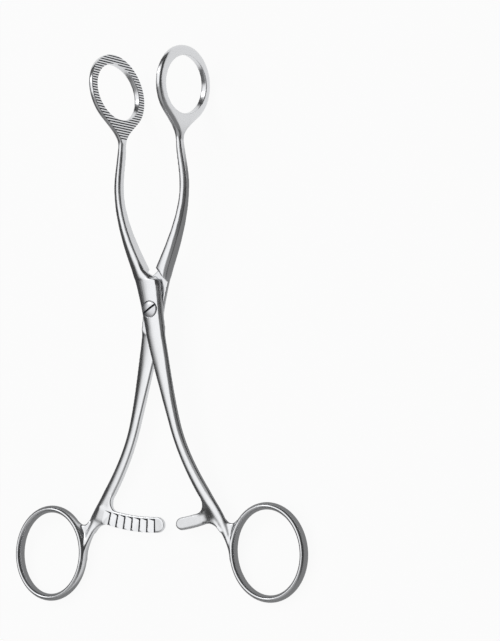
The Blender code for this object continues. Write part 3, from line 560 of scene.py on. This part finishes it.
def finger_ring(steps=240, wire_steps=40):
    """The oval ring with its oval wire."""
    half_width, half_length = (RING_WIDTH + WIRE_WIDTH) / 2, (RING_LENGTH + WIRE_WIDTH) / 2
    rings = []
    for i in range(steps):
        angle = 2 * math.pi * i / steps
        outward = Vector((half_length * math.cos(angle), half_width * math.sin(angle), 0))
        outward.normalize()
        middle = Vector((half_width * math.cos(angle), half_length * math.sin(angle), 0))
        ring = []
        for k in range(wire_steps):
            turn = 2 * math.pi * k / wire_steps
            wide, deep = (math.copysign(abs(share) ** WIRE_FLANK, share)
                          for share in (math.cos(turn), math.sin(turn)))
            ring.append(middle + outward * WIRE_FIT * WIRE_WIDTH / 2 * wide
                        + Vector((0, 0, WIRE_FIT * WIRE_DEPTH / 2 * deep)))
        rings.append(ring)
    mesh = bmesh.new()
    loft(mesh, rings, closed=True)
    place = Matrix.Translation((RING_X, RING_Y, 0)) @ Matrix.Rotation(RING_LEAN, 4, "Z")
    bmesh.ops.transform(mesh, matrix=place, verts=mesh.verts)
    return new_object("ring", mesh)


# %% [markdown]
# ## Ratchet bar
#
# Each bar is bent round the screw, so that it stays beside its partner while the forceps close. It is
# flat on the side that meets the other bar and softened elsewhere, and it thickens towards the shank
# that carries it. The teeth are cut after forging, so they are a saw-shaped cutter here. The steep
# faces that it leaves get the dark milled steel, whose darkness is painted shade, and the flat ones are
# polished with the bar.

# %% Ratchet bar
BAR_SOFT = 0.4                       # eased edges of the bar
BAR_STEPS, TIP_STEPS = 60, 24
TIP_TURN = math.radians(84.0)        # the round end stops short of a point


def bar_section(radius, angle, half, bottom, top, soft):
    """A section square to an arc round the screw. Its outer edges are eased at a flatter angle."""
    corners = [(soft / 2 - half, bottom), (half - soft, bottom), (half, bottom + soft / 2),
               (half, top - 0.7 * soft), (half - 1.5 * soft, top), (soft - half, top),
               (-half, top - soft), (-half, bottom + soft / 2)]
    return [((radius + x) * math.sin(angle), -(radius + x) * math.cos(angle), z) for x, z in corners]


def root_angle(radius):
    """Direction, from -Y, in which the arm's centre line crosses a circle round the screw."""
    x, y = circle_crossing(radius)
    return math.atan2(x, -y)


def ratchet_bar(width, reach):
    """One plain bar: an arc round the screw with a round end."""
    radius, half = RATCHET_RADIUS - width / 2, width / 2
    root, end = root_angle(radius), reach / radius + half / radius
    rings = []
    for i in range(BAR_STEPS + 1):
        angle = root + (end - root) * i / BAR_STEPS
        from_root = min((root - angle) * radius / ROOT_RISE_LENGTH, 1.0)
        rise = ROOT_RISE * (1 - from_root * from_root * (3 - 2 * from_root))
        rings.append(bar_section(radius, angle, half, HALF_GAP, BAR_TOP + rise, BAR_SOFT))
    for i in range(1, TIP_STEPS + 1):
        turn = TIP_TURN * i / TIP_STEPS
        angle = (reach + half * (1 - math.sin(turn))) / radius
        rings.append(bar_section(radius, angle, half * math.cos(turn), HALF_GAP, BAR_TOP,
                                 BAR_SOFT * math.cos(turn)))
    mesh = bmesh.new()
    loft(mesh, rings)
    return new_object("bar", mesh)


# %% Teeth
CREST = 0.05                         # the saw leaves the bar's face this far at each crest
SAW_BEYOND, SAW_UNDER = 0.4, 0.8     # how far the saw stands out beside and below the bar


def milled_with_painted_shade(cutter):
    """Give a cutter the milled steel, dark with painted shade, for the faces that its cut leaves."""
    cutter.data.materials.append(milled_steel_painted_shade)
    return cutter


def tooth_cutter(width, reach, pad):
    """A saw-tooth wedge: it runs out short of the bar's inner edge, and its steep faces get painted
    shade.
    """
    radius, rim = RATCHET_RADIUS - width / 2, width / 2 - TOOTH_RIM
    over, low = width / 2 + SAW_BEYOND, HALF_GAP - SAW_UNDER
    step, face, first = TOOTH_PITCH / radius, TOOTH_FACE / radius, (reach + pad) / radius
    count = int((root_angle(radius) - SWEEP_WIDTH / 2 / radius - first) / step)
    rings = []

    def ring(angle, depth):
        corners = [(-rim - SAW_UNDER, low), (over, low), (over, HALF_GAP + depth),
                   (-rim + depth, HALF_GAP + depth)]
        return [((radius + x) * math.sin(angle), -(radius + x) * math.cos(angle), z)
                for x, z in corners]

    for i in range(count):
        start = first + i * step
        rings += [ring(start, -CREST), ring(start + face, TOOTH_DEPTH)]
    rings.append(ring(first + count * step, -CREST))
    mesh = bmesh.new()
    loft(mesh, rings)
    cutter = milled_with_painted_shade(new_object("teeth", mesh))
    cutter.data.materials.append(arm_steel)
    # Painted shade: steep faces get the dark milled steel, the ramps the polished arm steel
    for index, polygon in enumerate(cutter.data.polygons):
        polygon.material_index = 0 if index // 4 % 2 == 0 or index % 4 == 3 else 1
    print("Teeth on this bar:", count)
    return cutter


# %% [markdown]
# ## Webs
#
# Where the bar and the ring leave the shank, a forging has no sharp inside corner: the die is rounded
# there, and the corner is filled by a thin web. Each web is a prism whose free side is a round that
# touches both edges. The round's centre lies where the two edges, moved out by its radius, cross. The
# webs at the bar slope from the shank's thickness down to the bar's, so no step is left between them.

# %% Webs
RING_ROUND, RING_WEB_TOP = 2.4, 1.6  # between shank and ring
INNER_ROUND, OUTER_ROUND = 3.4, 6.0  # on the bar's sides towards the screw and the ring
WEB_OVERLAP = 0.6                    # how far a web reaches into what it joins
WEB_STEPS, LINE_STEPS, RING_STEPS = 32, 80, 240


def moved_sideways(points, distance):
    """A plan line moved to its left, for a positive distance."""
    moved = []
    for i, point in enumerate(points):
        ahead = points[min(i + 1, len(points) - 1)] - points[max(i - 1, 0)]
        moved.append(point + Vector((-ahead.y, ahead.x)).normalized() * distance)
    return moved


def first_crossing(one, two):
    """First point where two plan lines cross."""
    for a, b in zip(one, one[1:]):
        for c, d in zip(two, two[1:]):
            point = geometry.intersect_line_line_2d(a, b, c, d)
            if point is not None:
                return point
    return None


def web(one, one_side, two, two_side, radius, near_top, far_top):
    """Fill the corner between two plan lines up to a round; its top falls away from line one."""
    corner = first_crossing(one, two)
    centre = first_crossing(moved_sideways(one, one_side * radius),
                            moved_sideways(two, two_side * radius))
    first, last = (min(line, key=lambda point: (point - centre).length) for line in (one, two))
    start = math.atan2(first.y - centre.y, first.x - centre.x)
    sweep = math.atan2(last.y - centre.y, last.x - centre.x) - start
    sweep = (sweep + math.pi) % (2 * math.pi) - math.pi
    turns = [start + sweep * i / WEB_STEPS for i in range(WEB_STEPS + 1)]
    outline = [centre + radius * Vector((math.cos(turn), math.sin(turn))) for turn in turns]
    outline += [place + (place - centre).normalized() * WEB_OVERLAP
                for place in (last, corner, first)]
    mesh = bmesh.new()
    low = [mesh.verts.new((point.x, point.y, GAP)) for point in outline]
    high = []
    for point in outline:
        share = min(min((place - point).length for place in one) / radius, 1.0)
        high.append(mesh.verts.new((point.x, point.y, near_top + (far_top - near_top) * share)))
    count, hub = len(outline), len(outline) - 2
    mesh.faces.new(list(reversed(low)))
    for i in range(count):
        j = (i + 1) % count
        mesh.faces.new((low[i], low[j], high[j], high[i]))
        if hub not in (i, j):
            mesh.faces.new((high[hub], high[i], high[j]))
    return new_object("web", mesh)


def webs(width):
    """Beside the ring, and above and below the bar's root."""
    past = root_angle(RATCHET_RADIUS) + SWEEP_WIDTH / RATCHET_RADIUS

    def arc(radius):
        turns = [past * (1 - i / LINE_STEPS) for i in range(LINE_STEPS + 1)]
        return [Vector((radius * math.sin(turn), -radius * math.cos(turn))) for turn in turns]

    def side(index):
        heights = [WAIST_Y + (END_Y - WAIST_Y) * i / LINE_STEPS for i in range(LINE_STEPS + 1)]
        return [Vector((plan_edges(y)[index], y)) for y in heights]

    turn = Matrix.Rotation(RING_LEAN, 2)
    ring_line = []
    for i in range(RING_STEPS + 1):
        angle = 2 * math.pi * i / RING_STEPS
        oval = Vector(((RING_WIDTH / 2 + WIRE_WIDTH) * math.cos(angle),
                       (RING_LENGTH / 2 + WIRE_WIDTH) * math.sin(angle)))
        ring_line.append(Vector((RING_X, RING_Y)) + turn @ oval)
    root_top = BAR_TOP + ROOT_RISE
    inner_line, outer_line = arc(RATCHET_RADIUS - width), arc(RATCHET_RADIUS)
    return [web(side(1), 1, ring_line, -1, RING_ROUND, RING_WEB_TOP, RING_WEB_TOP),
            web(side(0), -1, inner_line, -1, INNER_ROUND, root_top, BAR_TOP),
            web(side(0), -1, outer_line, 1, OUTER_ROUND, root_top, BAR_TOP)]


# %% [markdown]
# ## One forging
#
# The pieces are joined and fused by the remesh at a quarter of a millimetre, finer than the render can
# show. A light relaxing everywhere rounds the ridges as a polishing wheel does. A stronger one, held
# to the places where pieces meet, turns the seams into fillets. The serrations, the teeth and the
# screw's seat are machined after forging, so they are cut last and stay crisp.

# %% Fuse and relax
VOXEL = 0.26


def join(pieces, name):
    """Join several objects into one mesh without fusing them."""
    mesh = bmesh.new()
    for piece in pieces:
        mesh.from_mesh(piece.data)
        bpy.data.objects.remove(piece, do_unlink=True)
    data = bpy.data.meshes.new(name)
    mesh.to_mesh(data)
    mesh.free()
    thing = bpy.data.objects.new(name, data)
    bpy.context.scene.collection.objects.link(thing)
    return thing


def relax(thing, places, rounds, strength):
    """Smooth the mesh within a few places, given as (centre, radius), or everywhere."""
    modifier = thing.modifiers.new("relax", "SMOOTH")
    modifier.iterations, modifier.factor = rounds, strength
    if places:
        group = thing.vertex_groups.new(name="fillets")
        for vertex in thing.data.vertices:
            near = max(1 - (vertex.co - centre).length / radius for centre, radius in places)
            if near > 0:
                group.add([vertex.index], min(1.0, near * 2), "REPLACE")
        modifier.vertex_group = "fillets"
    bake(thing)
    thing.vertex_groups.clear()


# %% [markdown]
# ## Serrations
#
# Fine grooves across the gripping face keep the tissue from slipping. A milling cutter runs them all
# across the jaw, so each one is a straight V. In the picture a groove is narrower than two pixels, so
# its walls get the milled steel, whose dark colour is painted shade: it keeps the lines readable where a
# mirror would blur them.

# %% Serrations
GROOVE_MARGIN = 0.4                  # how far the cutter stands out of the gripping face
TOP_LEFT, TAIL_LEFT = 0.7, 1.6       # plain steel left at the jaw's tip and at its tail
JAW_REACH = 17.0                     # past the widest part of the jaw, each way


def serration_cutter():
    """One V-shaped wedge for each groove across the gripping face."""
    mesh = bmesh.new()
    first, last = OVAL_HALF_LENGTH - TOP_LEFT, TAIL_END + TAIL_LEFT
    half = GROOVE_WIDTH / 2 * (1 + GROOVE_MARGIN / GROOVE_DEPTH)
    count = int((first - last) / PITCH) + 1
    for i in range(count):
        middle = first - i * PITCH
        corners = [jaw_place(middle - half, GROOVE_MARGIN), jaw_place(middle + half, GROOVE_MARGIN),
                   jaw_place(middle, -GROOVE_DEPTH)]
        loft(mesh, [[(x, y, z) for x, y in corners] for z in (-JAW_REACH, JAW_REACH)])
    print("Grooves on this jaw:", count)
    return milled_with_painted_shade(new_object("serrations", mesh))


# %% [markdown]
# ## Both arms
#
# The two arms come out of the same dies, so one function makes both. Only the bar differs, and the
# upper arm also gets the recess for the screw's head. The lower arm is then turned half round about Y.
# Each finished arm rides on its own body, so the hinge can swing it.

# %% Both arms
FILLETS = [(Vector((RING_SIDE - 1, RING_Y + 4, 1.0)), 9.0),       # ring and shank
           (Vector((RING_SIDE, RING_Y + 11, 0.8)), 5.0),          # notch above the ring
           (Vector((NECK_X, NECK_Y, 0.0)), 4.0)]                  # jaw and shank
ROOT_ROUND = 8.0                     # reach of the fillet at the bar's root
RECESS_DEPTH = HEAD_HEIGHT + GAP     # the head keeps a gap below it
RIDGE_ROUNDS, FILLET_ROUNDS, RELAX_STRENGTH = 3, 30, 0.5


def forged_arm(name):
    """One whole arm in instrument millimetres, shaped as the upper one."""
    width, reach, pad = BARS[name]
    arm = join([shank(), jaw(), finger_ring(), ratchet_bar(width, reach)] + webs(width), name)
    remesh = arm.modifiers.new("fuse", "REMESH")
    remesh.mode, remesh.voxel_size = "VOXEL", VOXEL
    bake(arm)
    arm.data.materials.append(arm_steel)
    print(name, "fused:", len(arm.data.vertices), "vertices")
    root_x, root_y = circle_crossing(RATCHET_RADIUS - width / 2)
    bar_root = Vector((root_x - 2, root_y, 1.5))
    relax(arm, [], RIDGE_ROUNDS, RELAX_STRENGTH)
    relax(arm, [(bar_root, ROOT_ROUND)] + FILLETS, FILLET_ROUNDS, RELAX_STRENGTH)
    cut(arm, tooth_cutter(width, reach, pad))
    cut(arm, cylinder("hole", BODY_DIAMETER + 2 * GAP, -LAP_TOP, 2 * LAP_TOP))
    cut(arm, serration_cutter())
    if name == "upper_arm":
        cut(arm, cylinder("recess", HEAD_DIAMETER + 2 * GAP, LAP_TOP - RECESS_DEPTH, 2 * LAP_TOP))
    return arm


def finish(thing, sharp):
    """Carry a finished piece to the world, and shade it smooth but for edges over sharp degrees."""
    thing.data.transform(to_world)
    thing.data.shade_smooth()
    thing.data.set_sharp_from_angle(angle=math.radians(sharp))


upper = forged_arm("upper_arm")
upper.name = "upper_forging"
finish(upper, 40)
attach(upper, "upper_body")
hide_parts("upper_arm")

lower = forged_arm("lower_arm")
lower.name = "lower_forging"
lower.data.transform(Matrix.Rotation(math.pi, 4, "Y"))
finish(lower, 40)
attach(lower, "lower_body")
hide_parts("lower_arm")
print("Polygons:", len(upper.data.polygons), len(lower.data.polygons))

# %% [markdown]
# ## Pivot screw
#
# The screw is turned from bar, so it is a profile spun about its axis. Its head is sunk into the upper
# plate and only a low dome stands proud. The slot is filed straight across the head. It is drawn at
# about 33 degrees from the cross direction, where the last tightening left it.

# %% Screw
HEAD_EDGE, END_EDGE = 0.12, 0.2      # eased edges
SLOT_ANGLE, SLOT_WIDTH, SLOT_DEPTH = math.radians(33.0), 0.8, 0.9
DOME_STEPS = 12


def pivot_screw():
    """The turned screw with its filed slot."""
    seat, radius, body = LAP_TOP - HEAD_HEIGHT, HEAD_DIAMETER / 2, BODY_DIAMETER / 2
    profile = [(0.0, -LAP_TOP), (body - END_EDGE, -LAP_TOP), (body, -LAP_TOP + END_EDGE),
               (body, seat), (radius, seat), (radius, LAP_TOP - HEAD_EDGE)]
    for i in range(DOME_STEPS + 1):
        share = i / DOME_STEPS
        profile.append(((radius - HEAD_EDGE) * (1 - share), LAP_TOP + DOME * (1 - (1 - share) ** 2)))
    mesh = bmesh.new()
    verts = [mesh.verts.new((r, 0, z)) for r, z in profile]
    edges = [mesh.edges.new(pair) for pair in zip(verts, verts[1:])]
    bmesh.ops.spin(mesh, geom=verts + edges, cent=(0, 0, 0), axis=(0, 0, 1),
                   angle=2 * math.pi, steps=128, use_merge=True)
    bmesh.ops.remove_doubles(mesh, verts=mesh.verts, dist=1e-4)
    screw = new_object("slotted_screw", mesh)
    screw.data.materials.append(screw_steel)
    length, height = 2 * HEAD_DIAMETER, 2.0
    # The slot's walls get the dark milled steel, whose darkness is painted shade
    cut(screw, milled_with_painted_shade(block("slot", Matrix.Rotation(SLOT_ANGLE, 4, "Z")
                            @ Matrix.Translation((0, 0, LAP_TOP + DOME - SLOT_DEPTH + height / 2))
                            @ Matrix.Diagonal((length, SLOT_WIDTH, height, 1.0)))))
    return screw


screw = pivot_screw()
finish(screw, 30)
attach(screw, "lower_body")
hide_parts("pivot_screw")
print("Screw polygons:", len(screw.data.polygons))

# %% [markdown]
# ## Table
#
# The forceps lie on a plain white table, and the camera sees it white, with their soft shadow on it. A
# polished metal shows its surroundings more than itself. In a table that is white all over, the walls
# of the rings and the shanks would melt into the background. So a pool of light is painted into the
# table's glow, which only reflections see: bright in a strip under the joint and under the jaws, and dim
# beside it, as under a narrow bench lamp, though no such lamp is in the scene. Light Path tells the
# material whether the camera or a reflection asks.

# %% Table
# Painted pool of light in the table's glow, which only reflections see
STRIP_X, STRIP_INNER, STRIP_OUTER = -0.010, 0.014, 0.024   # metres: middle, and where it fades
PAINTED_STRIP_LEVEL, PAINTED_BESIDE_LEVEL, PAINTED_JAWS_LEVEL = 0.87, 0.27, 0.95
JAWS_START, JAWS_FULL = 0.055, 0.075                       # metres along Y
WHITE_SHARE = 0.93                                         # the rest is cloth, which takes the shadow
TABLE_HALF = 2000.0                                        # mm

floor_mesh = bmesh.new()
bmesh.ops.create_grid(floor_mesh, x_segments=1, y_segments=1, size=TABLE_HALF)
floor = new_object("table", floor_mesh)
floor.data.transform(Matrix.Scale(0.001, 4))
table, tree, output = new_material("white_table")
cloth = add(tree, "ShaderNodeBsdfDiffuse", Color=linear("#F2F2F2"))
spot = add(tree, "ShaderNodeTexCoord")
where = add(tree, "ShaderNodeSeparateXYZ", links={"Vector": spot.outputs["Object"]})
beside = add(tree, "ShaderNodeMath", {"operation": "SUBTRACT"}, {0: where.outputs["X"]})
beside.inputs[1].default_value = STRIP_X
across = add(tree, "ShaderNodeMath", {"operation": "ABSOLUTE"}, {0: beside.outputs["Value"]})
# Painted light: bright along the strip and dim beside it
strip = add(tree, "ShaderNodeMapRange", {"interpolation_type": "SMOOTHSTEP"},
            {"Value": across.outputs["Value"]}, From_Min=STRIP_INNER, From_Max=STRIP_OUTER,
            To_Min=PAINTED_STRIP_LEVEL, To_Max=PAINTED_BESIDE_LEVEL)
painted_pool_under_jaws = add(tree, "ShaderNodeMapRange", {"interpolation_type": "SMOOTHSTEP"},
                 {"Value": where.outputs["Y"]}, From_Min=JAWS_START, From_Max=JAWS_FULL,
                 To_Max=PAINTED_JAWS_LEVEL)
painted_pool = add(tree, "ShaderNodeMath", {"operation": "MAXIMUM"},
           {0: strip.outputs["Result"], 1: painted_pool_under_jaws.outputs["Result"]})
# Reflections see the painted pool as the glow's strength; the camera sees plain white
rays = add(tree, "ShaderNodeLightPath")
strength = add(tree, "ShaderNodeMath", {"operation": "MULTIPLY_ADD"},
               {0: rays.outputs["Is Glossy Ray"], 1: painted_pool.outputs["Value"],
                2: rays.outputs["Is Camera Ray"]})
glow = add(tree, "ShaderNodeEmission", {}, {"Strength": strength.outputs["Value"]},
           Color=(1.0, 1.0, 1.0, 1.0))
share = add(tree, "ShaderNodeMath", {"operation": "MULTIPLY_ADD"},
            {0: rays.outputs["Is Camera Ray"], 2: rays.outputs["Is Glossy Ray"]})
share.inputs[1].default_value = WHITE_SHARE
mix = add(tree, "ShaderNodeMixShader", links={0: share.outputs[0]})
tree.links.new(cloth.outputs["BSDF"], mix.inputs[1])
tree.links.new(glow.outputs["Emission"], mix.inputs[2])
tree.links.new(mix.outputs["Shader"], output.inputs["Surface"])
floor.data.materials.append(table)
print("Table as the steel sees it:", PAINTED_JAWS_LEVEL, "under the jaws,", PAINTED_BESIDE_LEVEL, "beside the strip")

# %% [markdown]
# ## Studio light
#
# The room is dim, but for one broad soft patch of sky high on the left, which makes the broad faces
# white. The level falls off smoothly round it, and that fall draws the grey along the crowned faces and
# the ridges. A milder patch on the ring side keeps the backs readable from there. Area lamps would
# mirror as hard squares, so the patches are painted in the world instead. Each is a soft step on the
# angle to one direction. One weak lamp gives the shadow its side. The camera itself sees plain white.

# %% Sky
SKY_LEVEL, DIM_LEVEL, FILL_LEVEL = 1.2, 0.06, 0.45
SKY_WAY = Vector((-0.20, 0.25, 0.95)).normalized()
FILL_WAY = Vector((0.10, -0.78, 0.62)).normalized()

world = bpy.data.worlds.new("studio")
bpy.context.scene.world = world
world.use_nodes = True
tree = world.node_tree
tree.nodes.clear()
output = add(tree, "ShaderNodeOutputWorld")
place = add(tree, "ShaderNodeTexCoord")


def patch(way, edge, full, low, high):
    """Level of a soft patch round one direction; edge and full are cosines of angles from it."""
    towards = add(tree, "ShaderNodeVectorMath", {"operation": "DOT_PRODUCT"},
                  {0: place.outputs["Generated"]})
    towards.inputs[1].default_value = way
    return add(tree, "ShaderNodeMapRange", {"interpolation_type": "SMOOTHSTEP"},
               {"Value": towards.outputs["Value"]}, From_Min=edge, From_Max=full, To_Min=low,
               To_Max=high)


soft = patch(SKY_WAY, 0.68, 0.92, 0.0, 1.0)
height = patch(Vector((0.0, 0.0, 1.0)), 0.15, 0.80, 0.0, 1.0)   # dark towards the horizon
fill = patch(FILL_WAY, 0.60, 0.95, DIM_LEVEL, FILL_LEVEL)
both = add(tree, "ShaderNodeMath", {"operation": "MULTIPLY"},
           {0: soft.outputs["Result"], 1: height.outputs["Result"]})
level = add(tree, "ShaderNodeMath", {"operation": "MULTIPLY_ADD"},
            {0: both.outputs["Value"], 2: fill.outputs["Result"]})
level.inputs[1].default_value = SKY_LEVEL
rays = add(tree, "ShaderNodeLightPath")
seen = add(tree, "ShaderNodeMath", {"operation": "MAXIMUM"},
           {0: level.outputs["Value"], 1: rays.outputs["Is Camera Ray"]})
sky = add(tree, "ShaderNodeBackground", {}, {"Strength": seen.outputs["Value"]},
          Color=(1.0, 1.0, 1.0, 1.0))
tree.links.new(sky.outputs["Background"], output.inputs["Surface"])

# %% Lamp
LAMP_PLACE = (-0.9, 0.9, 1.3)        # metres
lamp = bpy.data.lights.new("panel_left", "AREA")
lamp.energy, lamp.size = 2.0, 0.5    # watts, metres
lamp_object = bpy.data.objects.new("panel_left", lamp)
bpy.context.scene.collection.objects.link(lamp_object)
lamp_object.location = LAMP_PLACE
lamp_object.rotation_euler = (-Vector(LAMP_PLACE)).to_track_quat("-Z", "Y").to_euler()
bpy.context.scene.view_settings.view_transform = "Standard"
print("Sky patch", SKY_LEVEL + DIM_LEVEL, "and fill", FILL_LEVEL, "with one lamp of", lamp.energy, "W")
